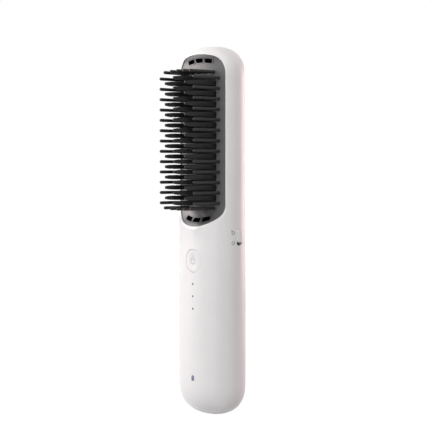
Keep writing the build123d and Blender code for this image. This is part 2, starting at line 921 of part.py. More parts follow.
def cell_link(end):
    """Nickel strip that joins the cells at one end."""
    face_z = cell_top_z if end > 0 else cell_bottom_z
    reach = (cell_spacing + cell_radius) / 2
    z_range = sorted((face_z, face_z + end * link_thickness))
    return block((-reach, reach), (cell_y - link_width / 2, cell_y + link_width / 2), z_range)


def battery_pad():
    """Foam in the valley between the cells and the rear wall."""
    z_range = (cell_bottom_z + pad_inset, cell_top_z - pad_inset)
    pad = block((-pad_half_width, pad_half_width), (cell_y + cell_radius / 2, far), z_range)
    pad = pad & housing_form(wall + flat_gap)
    for side in (-1, 1):
        pad -= battery_cell(side, flat_gap)
    return pad


def port_opening():
    """Rounded slot through the bottom end."""
    wide = port_width + 2 * port_gap
    tall = port_height + 2 * port_gap
    mouth = Pos(0, seam_y, -wall) * RectangleRounded(wide, tall, tall / 2 - flat_gap)
    return extrude(mouth, 2 * wall + port_sink + cap_height / 2)


def charge_port():
    """Steel sleeve of the charging port."""
    outline = RectangleRounded(port_width, port_height, port_height / 2 - flat_gap)
    hollow_width = port_width - 2 * port_wall
    hollow_height = port_height - 2 * port_wall
    hollow = RectangleRounded(hollow_width, hollow_height, hollow_height / 2 - flat_gap)
    sleeve = extrude(Pos(0, seam_y, port_sink) * (outline - hollow), port_length)
    return sleeve


def port_tongue():
    """Contact tongue on its plug at the back of the sleeve."""
    hollow_width = port_width - 2 * port_wall
    hollow_height = port_height - 2 * port_wall
    plug = RectangleRounded(hollow_width, hollow_height, hollow_height / 2 - flat_gap)
    top_z = port_sink + port_length
    body = extrude(Pos(0, seam_y, top_z - tongue_base) * plug, tongue_base)
    reach = tongue_width / 2
    half = tongue_thickness / 2
    z_range = (top_z - tongue_base - tongue_length + flat_gap, top_z - tongue_base)
    return body + block((-reach, reach), (seam_y - half, seam_y + half), z_range)


def charge_board():
    reach = charge_board_width / 2
    y_range = (port_back_y(), port_back_y() + charge_board_thickness)
    low = cell_bottom_z - link_thickness - cell_gap - holder_wall
    board = block((-reach, reach), y_range, (charge_board_bottom_z, low - fit_gap))
    return board & housing_form(wall + fit_gap)


def slot_opening():
    """Round-ended slot for the lock slider, through the side wall at the seam."""
    outline = RectangleRounded(slot_width, slot_length, slot_width / 2 - flat_gap)
    face = Plane.YZ * (Pos(slot_y, slot_middle_z) * outline)
    return extrude(Pos(half_width - side_radius / 2, 0, 0) * face, side_radius)


def lock_knob():
    """Outer pad of the lock slider."""
    wide = slot_width - 2 * knob_gap
    outline = RectangleRounded(wide, knob_length, wide / 2 - flat_gap)
    face = Plane.YZ * (Pos(slot_y, knob_middle_z) * outline)
    knob = extrude(Pos(half_width - knob_depth, 0, 0) * face, knob_depth + knob_proud)
    top_edges = knob.edges().filter_by(lambda edge: edge.center().X > half_width)
    return fillet(top_edges, knob_round)


def carrier_x():
    """Outer and inner faces of the slider's inner plate."""
    outer_x = half_width - wall - carrier_inner_gap
    return outer_x - carrier_thickness, outer_x


def lock_carrier():
    """Inner plate that holds the knob in the slot, with a fork over the switch lever."""
    inner_x, outer_x = carrier_x()
    plate = slider_block((inner_x, outer_x), carrier_half_width, knob_length / 2 + carrier_lap)
    neck_half = slot_width / 2 - 2 * knob_gap
    neck = slider_block((outer_x, half_width - knob_depth), neck_half, (knob_length - slot_width) / 2)
    fork_x = inner_x - fork_length
    fork_half = lever_width / 2 + fork_wall
    fork = slider_block((fork_x, inner_x), fork_half, fork_half)
    hole_half = lever_width / 2 + flat_gap
    return plate + neck + fork - slider_block((fork_x, inner_x), hole_half, hole_half)


def slider_block(x_range, half_y, half_z):
    """Block centred on the slider's knob."""
    y_range = (slot_y - half_y, slot_y + half_y)
    return block(x_range, y_range, (knob_middle_z - half_z, knob_middle_z + half_z))


def switch_outer_x():
    return lock_board_x + lock_board_thickness + switch_height


def lock_switch():
    """Slide switch whose lever the carrier moves."""
    half = switch_width / 2
    middle_z = knob_middle_z - knob_travel / 2
    z_range = (middle_z - switch_length / 2, middle_z + switch_length / 2)
    x_range = (lock_board_x + lock_board_thickness, switch_outer_x())
    body = block(x_range, (slot_y - half, slot_y + half), z_range)
    slack = lever_width / 2 + knob_travel / 2 + fit_gap
    well = block(
        (lock_board_x + lock_board_thickness + fit_gap, far),
        (slot_y - lever_width / 2 - flat_gap, slot_y + lever_width / 2 + flat_gap),
        (middle_z - slack, middle_z + slack),
    )
    return body - well


def switch_lever():
    x_range = (lock_board_x + lock_board_thickness + 2 * fit_gap, carrier_x()[0] - flat_gap)
    return slider_block(x_range, lever_width / 2, lever_width / 2)


def lock_board():
    half = lock_board_length / 2
    y_range = (slot_y - lock_board_width / 2, slot_y + lock_board_width / 2)
    z_range = (slot_middle_z - half, slot_middle_z + half)
    return block((lock_board_x, lock_board_x + lock_board_thickness), y_range, z_range)


def ear_screws():
    return [screw(x, z, ear_y - ear_thickness, ear_screw_length, 1) for x, z in ear_places()]


def group(solids):
    return Compound(children=[solid for part in solids for solid in part.solids()])


outer_form = housing_form()
inner_form = housing_form(wall)
parts = {
    "front_shell": front_shell(outer_form, inner_form),
    "rear_shell": rear_shell(outer_form, inner_form),
    "comb_plate": comb_plate(),
    "heating_comb": heating_comb(),
    "guard_teeth_left": side_strip(-1),
    "guard_teeth_right": side_strip(1),
    "guard_teeth_top": end_strip(top_end_row_z, 1),
    "guard_teeth_bottom": end_strip(bottom_end_row_z, -1),
    "vent_screen_top": vent_screen(top_vent_z, top_vent_arc, 1),
    "vent_screen_bottom": vent_screen(bottom_vent_z, bottom_vent_arc, -1),
    "head_frame": head_frame(),
    "heater_plate": heater_plate(),
    "heater_clamp": heater_clamp(),
    "heat_shield": heat_shield(),
    "thermal_fuse": thermal_fuse(),
    "temperature_sensor": temperature_sensor(),
    "comb_screws": group(comb_screws()),
    "plate_screws": group(plate_screws()),
    "frame_screws": group(frame_screws()),
    "power_button": power_button(outer_form),
    "switch_plunger": switch_plunger(),
    "power_switch": power_switch(),
    "light_guide": light_guide(outer_form),
    "indicator_lights": group(indicator_lights()),
    "battery_mark": battery_mark(outer_form),
    "main_board": main_board(),
    "board_screws": group(board_screws()),
    "battery_cell_left": battery_cell(-1),
    "battery_cell_right": battery_cell(1),
    "cell_link_top": cell_link(1),
    "cell_link_bottom": cell_link(-1),
    "battery_holder": battery_holder(),
    "battery_pad": battery_pad(),
    "ear_screws": group(ear_screws()),
    "charge_port": charge_port(),
    "port_tongue": port_tongue(),
    "charge_board": charge_board(),
    "lock_knob": lock_knob(),
    "lock_carrier": lock_carrier(),
    "switch_lever": switch_lever(),
    "lock_switch": lock_switch(),
    "lock_board": lock_board(),
}

os.makedirs("parts", exist_ok=True)
for name, shape in parts.items():
    export_step(shape, f"parts/{name}.step")
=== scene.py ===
"""Looks of a cordless hair straightening brush, built around its CAD frame.

The CAD nodes keep their shapes and get procedural finishes. The printed marks are thin
meshes laid on the node that carries them. A studio and a camera complete the scene.
"""

import logging
import math
from dataclasses import dataclass, field
from enum import Enum
from typing import Mapping, Optional, Sequence, Union

import bmesh
import bpy
from bpy.types import ID, Material, Node, NodeSocket, Object, World
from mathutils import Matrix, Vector
from mathutils.bvhtree import BVHTree


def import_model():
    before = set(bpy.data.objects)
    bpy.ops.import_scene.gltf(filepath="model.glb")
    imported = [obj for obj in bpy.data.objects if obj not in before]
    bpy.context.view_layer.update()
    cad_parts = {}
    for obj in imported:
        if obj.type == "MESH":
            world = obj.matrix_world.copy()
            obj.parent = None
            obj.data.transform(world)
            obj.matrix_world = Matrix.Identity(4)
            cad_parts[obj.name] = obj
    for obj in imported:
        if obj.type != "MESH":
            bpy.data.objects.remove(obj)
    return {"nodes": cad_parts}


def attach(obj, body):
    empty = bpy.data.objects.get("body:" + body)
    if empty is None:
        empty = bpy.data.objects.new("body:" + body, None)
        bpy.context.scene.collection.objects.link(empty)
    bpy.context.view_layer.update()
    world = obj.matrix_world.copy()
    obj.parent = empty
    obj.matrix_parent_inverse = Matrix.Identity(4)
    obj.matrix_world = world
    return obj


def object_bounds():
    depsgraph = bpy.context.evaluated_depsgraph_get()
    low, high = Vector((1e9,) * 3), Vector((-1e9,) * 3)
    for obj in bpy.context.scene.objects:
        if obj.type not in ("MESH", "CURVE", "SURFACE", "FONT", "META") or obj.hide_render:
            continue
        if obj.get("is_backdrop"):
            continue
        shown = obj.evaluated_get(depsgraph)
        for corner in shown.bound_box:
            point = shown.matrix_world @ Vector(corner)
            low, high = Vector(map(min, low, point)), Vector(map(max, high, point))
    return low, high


log = logging.getLogger("hair_brush")

Colour = tuple[float, float, float]
Number = Union["Value", float]
Band = tuple[float, float]
Outline = Sequence[tuple[float, float]]

# Sockets of a colour Mix node: its factor, its two colours and its result.
MIX_FACTOR = 0
MIX_FIRST = 6
MIX_SECOND = 7
MIX_RESULT = 2

WHITE = (1.0, 1.0, 1.0, 1.0)


class Slot(Enum):
    """Material slots of the record."""

    HOUSING = "housing_white"
    BUTTON = "button_white"
    PLATE = "plate_grey"
    COMB = "comb_black"
    GUARD = "guard_black"
    FRAME = "frame_dark"
    CARRIER = "carrier_grey"
    HEATER = "heater_ceramic"
    STEEL = "steel"
    MICA = "mica"
    BOARD = "board_green"
    DARK_PART = "part_black"
    CELL = "cell_wrap"
    LIGHT = "light_clear"
    BATTERY_MARK = "mark_slate"
    FOAM = "foam"


class Body(Enum):
    """Bodies that an added piece rides on."""

    HOUSING = "housing"
    BUTTON = "power_button"


class Value:
    """A number on a shader socket, with arithmetic written as Python expressions."""

    def __init__(self, shader: "Shader", socket: NodeSocket) -> None:
        """Wraps a socket.

        Args:
            shader: the material that the socket belongs to.
            socket: an output that carries a number.
        """
        self.shader = shader
        self.socket = socket

    def _math(self, operation: str, first: Number, second: Number) -> "Value":
        """Adds one Math node.

        Args:
            operation: the node's operation.
            first: its first number.
            second: its second number.

        Returns:
            The node's result.
        """
        made = self.shader.node("ShaderNodeMath", {"operation": operation}, {0: first, 1: second})
        return Value(self.shader, made.outputs[0])

    def __add__(self, other: Number) -> "Value":
        """self + other."""
        return self._math("ADD", self, other)

    def __radd__(self, other: float) -> "Value":
        """other + self."""
        return self._math("ADD", other, self)

    def __sub__(self, other: Number) -> "Value":
        """self - other."""
        return self._math("SUBTRACT", self, other)

    def __rsub__(self, other: float) -> "Value":
        """other - self."""
        return self._math("SUBTRACT", other, self)

    def __mul__(self, other: Number) -> "Value":
        """self * other."""
        return self._math("MULTIPLY", self, other)

    def __rmul__(self, other: float) -> "Value":
        """other * self."""
        return self._math("MULTIPLY", other, self)


class Shader:
    """The node tree of one material or of the world."""

    def __init__(self, name: str, owner: Optional[World] = None) -> None:
        """Takes a world, or makes a material, and empties it.

        Args:
            name: the material's name.
            owner: the world, where it isn't a material.
        """
        self.material = owner or bpy.data.materials.new(name)
        self.material.use_nodes = True
        self.tree = self.material.node_tree
        self.tree.nodes.clear()
        self.place = self.node("ShaderNodeTexCoord").outputs["Object"]

    def node(
        self,
        kind: str,
        settings: Optional[Mapping[str, object]] = None,
        inputs: Optional[Mapping[Union[str, int], object]] = None,
    ) -> Node:
        """Adds a node.

        Args:
            kind: the node's type.
            settings: its properties, set first; "stops" is a ramp's list of place and colour.
            inputs: values or links of its sockets, by name or number.

        Returns:
            The new node.
        """
        made = self.tree.nodes.new(kind)
        for key, value in (settings or {}).items():
            if key == "stops":
                self._set_stops(made, value)
            else:
                setattr(made, key, value)
        for key, value in (inputs or {}).items():
            if isinstance(value, Value):
                self.tree.links.new(value.socket, made.inputs[key])
            elif isinstance(value, NodeSocket):
                self.tree.links.new(value, made.inputs[key])
            else:
                made.inputs[key].default_value = value
        return made

    @staticmethod
    def _set_stops(ramp: Node, stops: Sequence[tuple[float, Colour]]) -> None:
        """Sets a ramp's colours.

        Args:
            ramp: a colour ramp with its two first stops.
            stops: place and colour of each stop, in order.
        """
        elements = ramp.color_ramp.elements
        while len(elements) < len(stops):
            elements.new(1.0)
        for element, (position, colour) in zip(elements, stops):
            element.position = position
            element.color = (*colour, 1.0)

    def stretched(self, factors: Colour) -> NodeSocket:
        """The object's coordinates, scaled by axis.

        Args:
            factors: one factor for each axis.

        Returns:
            The scaled vector.
        """
        inputs = {0: self.place, 1: factors}
        return self.node("ShaderNodeVectorMath", {"operation": "MULTIPLY"}, inputs).outputs[0]

    def noise(self, size: float, detail: float = 2.0, along: Optional[Colour] = None) -> Value:
        """Soft noise from 0 to 1.

        Args:
            size: size of its features in metres.
            detail: how many finer layers it has.
            along: factors that stretch it by axis.

        Returns:
            The noise.
        """
        vector = self.stretched(along) if along else self.place
        inputs = {"Vector": vector, "Scale": 1 / size, "Detail": detail}
        return Value(self, self.node("ShaderNodeTexNoise", {}, inputs).outputs[0])

    def cells(self, size: float, feature: str = "F1") -> Value:
        """Cell pattern.

        Args:
            size: size of a cell in metres.
            feature: the Voronoi feature that is read.

        Returns:
            The distance that the feature gives.
        """
        inputs = {"Vector": self.place, "Scale": 1 / size}
        made = self.node("ShaderNodeTexVoronoi", {"feature": feature}, inputs)
        return Value(self, made.outputs["Distance"])

    def between(self, value: Number, low: float, high: float) -> Value:
        """How far a value is on its way from low to high, kept from 0 to 1.

        Args:
            value: the value that is read.
            low: where the result is 0.
            high: where the result is 1.

        Returns:
            The share.
        """
        inputs = {"Value": value, "From Min": low, "From Max": high}
        return Value(self, self.node("ShaderNodeMapRange", {"clamp": True}, inputs).outputs[0])

    def mix(self, factor: Number, first: object, second: object) -> NodeSocket:
        """Mixes two colours.

        Args:
            factor: share of the second colour.
            first: a colour or a link.
            second: a colour or a link.

        Returns:
            The mixed colour.
        """
        ends = [(*end, 1.0) if isinstance(end, tuple) else end for end in (first, second)]
        inputs = {MIX_FACTOR: factor, MIX_FIRST: ends[0], MIX_SECOND: ends[1]}
        return self.node("ShaderNodeMix", {"data_type": "RGBA"}, inputs).outputs[MIX_RESULT]

    def bump(self, height: Value, relief: float) -> NodeSocket:
        """A normal that follows a height.

        Args:
            height: height from 0 to 1.
            relief: what a height of 1 is in metres.

        Returns:
            The normal.
        """
        inputs = {"Height": height, "Distance": relief, "Strength": 1.0}
        return self.node("ShaderNodeBump", {}, inputs).outputs[0]

    def cover(self, inputs: Mapping[str, object]) -> Material:
        """Ends the material in a principled surface.

        Args:
            inputs: values or links of the surface's sockets.

        Returns:
            The finished material.
        """
        surface = self.node("ShaderNodeBsdfPrincipled", {}, inputs)
        self.node("ShaderNodeOutputMaterial", {}, {"Surface": surface.outputs[0]})
        return self.material


def add_object(name: str, data: ID) -> Object:
    """Makes an object of a mesh, a lamp or a camera and links it to the scene.

    Args:
        name: the object's name.
        data: what it shows.

    Returns:
        The object.
    """
    made = bpy.data.objects.new(name, data)
    bpy.context.scene.collection.objects.link(made)
    return made


def around(azimuth: float, distance: float, height: float) -> Vector:
    """A place round the brush.

    Args:
        azimuth: degrees from the brush's front, turning to its right.
        distance: how far it is from the brush's axis.
        height: its height.

    Returns:
        The place.
    """
    turn = math.radians(azimuth)
    return Vector((distance * math.sin(turn), -distance * math.cos(turn), height))


@dataclass(frozen=True)
class Finish:
    """A moulded surface: a colour that drifts, a fine grain and a roughness that varies."""

    colour: Colour
    drift_colour: Colour
    roughness: float
    shine: float = 0.5
    spread: float = 0.05
    drift_size: float = 0.012
    grain_size: float = 0.0004
    relief: float = 0.000004
    drift_band: Band = (0.3, 0.7)
    drift_detail: float = 3.0
    grain_detail: float = 4.0

    def drift(self, shader: Shader) -> Value:
        """Slow change of colour over the surface."""
        return shader.between(shader.noise(self.drift_size, self.drift_detail), *self.drift_band)

    def grain(self, shader: Shader) -> Value:
        """Height of the fine grain."""
        return shader.noise(self.grain_size, self.grain_detail)

    def constants(self) -> dict[str, float]:
        """Sockets that have one value all over."""
        return {"Specular IOR Level": self.shine}

    def material(self, name: str) -> Material:
        """Builds the material.

        Args:
            name: the material's name.

        Returns:
            The finished material.
        """
        shader = Shader(name)
        drift = self.drift(shader)
        grain = self.grain(shader)
        surface = {
            "Base Color": shader.mix(drift, self.colour, self.drift_colour),
            "Roughness": self.roughness - self.spread / 2 + self.spread * grain,
            "Normal": shader.bump(grain, self.relief),
        }
        return shader.cover({**surface, **self.constants()})


@dataclass(frozen=True)
class CoatedFinish(Finish):
    """A surface under a thin clear coat."""

    coat: float = 0.4
    coat_roughness: float = 0.2

    def constants(self) -> dict[str, float]:
        """Sockets that have one value all over, the coat among them."""
        coat = {"Coat Weight": self.coat, "Coat Roughness": self.coat_roughness}
        return {**super().constants(), **coat}


@dataclass(frozen=True)
class SatinFinish(Finish):
    """Satin paint with metal flakes in it."""

    metal: float = 0.42

    def constants(self) -> dict[str, float]:
        """Sockets that have one value all over, the share of metal among them."""
        return {**super().constants(), "Metallic": self.metal}


@dataclass(frozen=True)
class SteelFinish(Finish):
    """Plated steel with fine lines along one axis."""

    lines: Colour = (1.0, 1.0, 0.05)
    line_detail: float = 3.0

    def grain(self, shader: Shader) -> Value:
        """Height of the drawn lines."""
        return shader.noise(self.grain_size, self.line_detail, self.lines)

    def constants(self) -> dict[str, float]:
        """Sockets that have one value all over."""
        return {"Metallic": 1.0}


@dataclass(frozen=True)
class CeramicFinish(Finish):
    """Fired ceramic with small dark specks."""

    speck_size: float = 0.0012
    speck_edge: Band = (0.12, 0.22)

    def drift(self, shader: Shader) -> Value:
        """Specks at the middle of a few cells."""
        return 1 - shader.between(shader.cells(self.speck_size), *self.speck_edge)


@dataclass(frozen=True)
class MicaFinish(Finish):
    """Pressed mica: overlapping flakes."""

    flake_size: float = 0.0035
    flake_shades: Band = (0.1, 0.8)
    flake_edge: Band = (0.0, 0.08)
    edge_share: float = 0.7

    def drift(self, shader: Shader) -> Value:
        """Flakes of slightly different shade."""
        return shader.between(shader.cells(self.flake_size), *self.flake_shades)

    def grain(self, shader: Shader) -> Value:
        """Edges of the flakes over a fine noise."""
        outline = shader.cells(self.flake_size, "DISTANCE_TO_EDGE")
        edges = shader.between(outline, *self.flake_edge)
        return self.edge_share * edges + (1 - self.edge_share) * shader.noise(self.grain_size)


@dataclass(frozen=True)
class BoardFinish(Finish):
    """Circuit board: copper tracks under green lacquer."""

    track_size: float = 0.0016
    track_edge: Band = (0.55, 0.7)
    track_share: float = 0.8

    def drift(self, shader: Shader) -> Value:
        """Bands where tracks run."""
        inputs = {"Vector": shader.place, "Scale": 1 / self.track_size, "Distortion": 0.0}
        wave = shader.node("ShaderNodeTexWave", {"bands_direction": "X"}, inputs)
        return shader.between(Value(shader, wave.outputs["Fac"]), *self.track_edge)

    def grain(self, shader: Shader) -> Value:
        """Tracks stand out of the lacquer."""
        tracks = self.track_share * self.drift(shader)
        return tracks + (1 - self.track_share) * shader.noise(self.grain_size)


@dataclass(frozen=True)
class WrapFinish(CoatedFinish):
    """Shrunk film on a round cell, with faint hoops."""

    hoop: Colour = (0.2, 0.2, 1.0)
    hoop_size: float = 0.0018
    hoop_detail: float = 2.0
    hoop_share: float = 0.6

    def grain(self, shader: Shader) -> Value:
        """Faint hoops and ripples of the film."""
        hoops = self.hoop_share * shader.noise(self.hoop_size, self.hoop_detail, self.hoop)
        return hoops + (1 - self.hoop_share) * shader.noise(self.grain_size)


@dataclass(frozen=True)
class FoamFinish(Finish):
    """Open foam."""

    pore_size: float = 0.0006
    pore_wall: Band = (0.0, 0.6)

    def grain(self, shader: Shader) -> Value:
        """Pores as deep cells."""
        return shader.between(shader.cells(self.pore_size), *self.pore_wall)


FINISHES: dict[Slot, Finish] = {
    Slot.HOUSING: CoatedFinish(
        (0.84, 0.84, 0.845), (0.82, 0.822, 0.83), 0.4, coat=0.12, coat_roughness=0.3,
    ),
    # A little darker than the shells' white as painted shade: it stands in for the shading inside
    # the button's dished face. The lock knob shares this darker white.
    Slot.BUTTON: CoatedFinish(
        (0.81, 0.81, 0.815), (0.795, 0.797, 0.805), 0.36, coat=0.2, coat_roughness=0.25,
    ),
    Slot.PLATE: SatinFinish(
        (0.12, 0.12, 0.121), (0.132, 0.132, 0.133), 0.44, shine=0.2, grain_size=0.0003,
        relief=0.00001,
    ),
    Slot.COMB: Finish((0.034, 0.034, 0.0342), (0.04, 0.04, 0.0403), 0.24, shine=0.12),
    Slot.GUARD: Finish((0.045, 0.045, 0.0453), (0.052, 0.052, 0.0524), 0.22, shine=0.12),
    Slot.FRAME: Finish((0.03, 0.03, 0.032), (0.04, 0.04, 0.042), 0.55, relief=0.000012),
    Slot.CARRIER: Finish((0.05, 0.05, 0.054), (0.06, 0.06, 0.064), 0.55, relief=0.000012),
    Slot.HEATER: CeramicFinish((0.8, 0.78, 0.72), (0.45, 0.42, 0.36), 0.6),
    Slot.STEEL: SteelFinish((0.6, 0.6, 0.6), (0.52, 0.52, 0.53), 0.32, spread=0.15),
    Slot.MICA: MicaFinish((0.62, 0.52, 0.38), (0.48, 0.38, 0.25), 0.45, relief=0.00003),
    Slot.BOARD: BoardFinish((0.02, 0.16, 0.06), (0.06, 0.3, 0.1), 0.35, relief=0.00003),
    Slot.DARK_PART: Finish(
        (0.006, 0.006, 0.006), (0.01, 0.01, 0.0102), 0.6, shine=0.1, relief=0.00001,
    ),
    Slot.CELL: WrapFinish((0.1, 0.28, 0.6), (0.08, 0.24, 0.55), 0.3, coat=0.6, relief=0.00005),
    Slot.LIGHT: CoatedFinish((0.09, 0.09, 0.095), (0.12, 0.12, 0.125), 0.35, coat=0.5),
    Slot.BATTERY_MARK: CoatedFinish((0.12, 0.155, 0.24), (0.15, 0.19, 0.28), 0.35, coat=0.4),
    Slot.FOAM: FoamFinish((0.06, 0.06, 0.06), (0.09, 0.09, 0.09), 0.9, relief=0.0003),
}

VENT_MESH = Finish((0.002, 0.002, 0.002), (0.003, 0.003, 0.003), 0.9, shine=0.0)
PRINT_INK = Finish(
    (0.24, 0.236, 0.232), (0.28, 0.275, 0.27), 0.5, drift_size=0.001, relief=0.000002,
)

# Steps of a stroke: degrees in one step of an arc, fewest steps of an arc, steps of a line.
ARC_STEP = 7.0
LEAST_STEPS = 6
LINE_STEPS = 12


@dataclass
class Paint:
    """The materials of the brush, each made once."""

    made: dict[str, Material] = field(default_factory=dict)

    def finish(self, name: str, finish: Finish) -> Material:
        """The material of a finish.

        Args:
            name: the material's name.
            finish: what it is made from when it isn't there yet.

        Returns:
            The material.
        """
        if name not in self.made:
            self.made[name] = finish.material(name)
        return self.made[name]

    def slot(self, slot: Slot) -> Material:
        """The material of a record slot."""
        return self.finish(slot.value, FINISHES[slot])


@dataclass(frozen=True)
class Stroke:
    """A line of even width with round ends, in the plane of its mark."""

    points: Outline
    width: float
    end_share: float = 0.25
    same_place: float = 1e-9

    @staticmethod
    def arc(
        centre: tuple[float, float], radius: float, start: float, end: float, width: float,
    ) -> "Stroke":
        """A stroke along an arc.

        Args:
            centre: the arc's centre.
            radius: its radius.
            start: first angle in degrees, from the plane's right, turning left.
            end: last angle in degrees.
            width: the stroke's width.

        Returns:
            The stroke.
        """
        steps = max(LEAST_STEPS, round(abs(end - start) / ARC_STEP))
        angles = [math.radians(start + (end - start) * i / steps) for i in range(steps + 1)]
        across, up = centre
        points = [(across + radius * math.cos(a), up + radius * math.sin(a)) for a in angles]
        return Stroke(points, width)

    @staticmethod
    def line(start: tuple[float, float], end: tuple[float, float], width: float) -> "Stroke":
        """A straight stroke.

        Args:
            start: its first point.
            end: its last point.
            width: the stroke's width.

        Returns:
            The stroke.
        """
        shares = [i / LINE_STEPS for i in range(LINE_STEPS + 1)]
        run, rise = end[0] - start[0], end[1] - start[1]
        return Stroke([(start[0] + run * s, start[1] + rise * s) for s in shares], width)

    def stations(self) -> list[tuple[Vector, Vector, float]]:
        """Places along the stroke.

        Returns:
            For each place its point, the direction across and half the width there.
        """
        points = [Vector(p) for p in self.points]
        closed = (points[0] - points[-1]).length < self.same_place
        half = self.width / 2
        runs = [0.0]
        for before, after in zip(points, points[1:]):
            runs.append(runs[-1] + (after - before).length)
        made = []
        for index, point in enumerate(points):
            before = points[index - 1] if index else points[-2 if closed else 0]
            after = points[index + 1] if point is not points[-1] else points[1 if closed else -1]
            along = (after - before).normalized()
            from_end = half if closed else min(runs[index], runs[-1] - runs[index], half)
            round_end = half**2 - (half - from_end) ** 2
            reach = math.sqrt(max(round_end, (self.end_share * half) ** 2))
            made.append((point, Vector((-along.y, along.x)), reach))
        return made


@dataclass
class PrintedMark:
    """A printed mark that lies on one CAD node's surface."""

    name: str
    carrier: str
    body: Body
    slot: Slot
    centre: Vector
    right: Vector
    up: Vector
    strokes: Sequence[Stroke]
    lift: float = 0.00003
    sink: float = 0.00002
    ray_start: float = 0.01
    profile: Outline = ((-1.0, -1.0), (-0.85, 1.0), (0.0, 1.0), (0.85, 1.0), (1.0, -1.0))

    def landing(self, tree: BVHTree, across: float, height: float) -> Vector:
        """Where a point of the mark's plane lands on the carrier.

        Args:
            tree: the carrier's faces.
            across: place along right.
            height: place along up.

        Returns:
            The point on the surface.
        """
        outward = self.right.cross(self.up)
        start = self.centre + self.right * across + self.up * height + outward * self.ray_start
        hit = tree.ray_cast(start, -outward)[0]
        if hit is None:
            raise ValueError(f"{self.name} misses {self.carrier}")
        return hit

    def build(self, nodes: Mapping[str, Object], paint: Paint) -> Object:
        """Builds the mark as one mesh.

        Args:
            nodes: the CAD nodes.
            paint: the materials.

        Returns:
            The mark.
        """
        carrier = nodes[self.carrier].data
        faces = [polygon.vertices for polygon in carrier.polygons]
        tree = BVHTree.FromPolygons([vertex.co for vertex in carrier.vertices], faces)
        outward = self.right.cross(self.up)
        mesh = bmesh.new()
        for stroke in self.strokes:
            rows = []
            for point, side, reach in stroke.stations():
                row = []
                for share, level in self.profile:
                    place = point + side * reach * share
                    rise = self.lift if level > 0 else -self.sink
                    foot = self.landing(tree, place.x, place.y)
                    row.append(mesh.verts.new(foot + outward * rise))
                rows.append(row)
            for low, high in zip(rows, rows[1:]):
                for i in range(len(low) - 1):
                    mesh.faces.new((low[i], low[i + 1], high[i + 1], high[i]))
        bmesh.ops.recalc_face_normals(mesh, faces=mesh.faces)
        if sum(face.normal.dot(outward) for face in mesh.faces) < 0:
            bmesh.ops.reverse_faces(mesh, faces=mesh.faces)
        data = bpy.data.meshes.new(self.name)
        mesh.to_mesh(data)
        mesh.free()
        made = add_object(self.name, data)
        data.materials.append(paint.finish("print_ink", PRINT_INK))
        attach(made, self.body.value)
        return made


@dataclass
class SubAssembly:
    """CAD nodes that belong together, and the pieces that the scene adds to them."""

    finishes: Mapping[str, Slot]

    def dress(self, nodes: Mapping[str, Object], paint: Paint) -> None:
        """Gives every node its finish.

        Args:
            nodes: the CAD nodes.
            paint: the materials.
        """
        for name, slot in self.finishes.items():
            self.cover(nodes[name], paint.slot(slot))

    @staticmethod
    def cover(node: Object, material: Material) -> None:
        """Gives a node one material all over."""
        materials = node.data.materials
        if not materials:
            materials.append(None)
        for index in range(len(materials)):
            materials[index] = material
        log.info("%s: %s", node.name, material.name)

    def build(self, nodes: Mapping[str, Object], paint: Paint) -> list[Object]:
        """Builds the added pieces; none unless a sub-assembly has its own."""
        return []


@dataclass
class Housing(SubAssembly):
    """White shells with the battery mark, the lights and the printed padlocks."""

    finishes: Mapping[str, Slot] = field(default_factory=lambda: {
        "front_shell": Slot.HOUSING,
        "rear_shell": Slot.HOUSING,
        "battery_mark": Slot.BATTERY_MARK,
        "light_guide": Slot.LIGHT,
    })
    padlock_x: float = 0.03
    padlock_y: float = -0.0037
    open_z: float = 0.1072
    shut_z: float = 0.1014
    ring: float = 0.00082
    stroke: float = 0.00038
    hook_place: tuple[float, float] = (-1.05, 1.15)
    hook_size: float = 0.5
    hook_turn: tuple[float, float] = (-20, 190)
    hook_stroke: float = 0.8

    def padlock(self, name: str, height: float, shackle_open: bool) -> PrintedMark:
        """A small padlock beside the slider.

        Args:
            name: the piece's name.
            height: its place along z.
            shackle_open: True for the unlocked one.

        Returns:
            The mark.
        """
        strokes = [Stroke.arc((0, 0), self.ring, 0, 360, self.stroke)]
        if shackle_open:
            hook = (self.ring * self.hook_place[0], self.ring * self.hook_place[1])
            size, width = self.ring * self.hook_size, self.stroke * self.hook_stroke
            strokes.append(Stroke.arc(hook, size, *self.hook_turn, width))
        place = Vector((self.padlock_x, self.padlock_y, height))
        return PrintedMark(
            name, "front_shell", Body.HOUSING, Slot.HOUSING,
            place, Vector((0, 1, 0)), Vector((0, 0, 1)), strokes,
        )

    def build(self, nodes: Mapping[str, Object], paint: Paint) -> list[Object]:
        """Builds the two padlocks."""
        marks = [
            self.padlock("padlock_open", self.open_z, True),
            self.padlock("padlock_shut", self.shut_z, False),
        ]
        return [mark.build(nodes, paint) for mark in marks]


@dataclass
class CombHead(SubAssembly):
    """Grey plate, the coated comb, its guards and what heats them."""

    finishes: Mapping[str, Slot] = field(default_factory=lambda: {
        "comb_plate": Slot.PLATE,
        "heating_comb": Slot.COMB,
        "guard_teeth_left": Slot.GUARD,
        "guard_teeth_right": Slot.GUARD,
        "guard_teeth_top": Slot.GUARD,
        "guard_teeth_bottom": Slot.GUARD,
        "head_frame": Slot.FRAME,
        "heater_plate": Slot.HEATER,
        "heater_clamp": Slot.STEEL,
        "heat_shield": Slot.MICA,
        "thermal_fuse": Slot.STEEL,
        "temperature_sensor": Slot.DARK_PART,
        "comb_screws": Slot.STEEL,
        "plate_screws": Slot.STEEL,
        "frame_screws": Slot.STEEL,
    })
    screens: Sequence[str] = ("vent_screen_top", "vent_screen_bottom")

    def build(self, nodes: Mapping[str, Object], paint: Paint) -> list[Object]:
        """Gives the screens behind the vents their black mesh; adds no piece."""
        for name in self.screens:
            self.cover(nodes[name], paint.finish("vent_mesh", VENT_MESH))
        return []


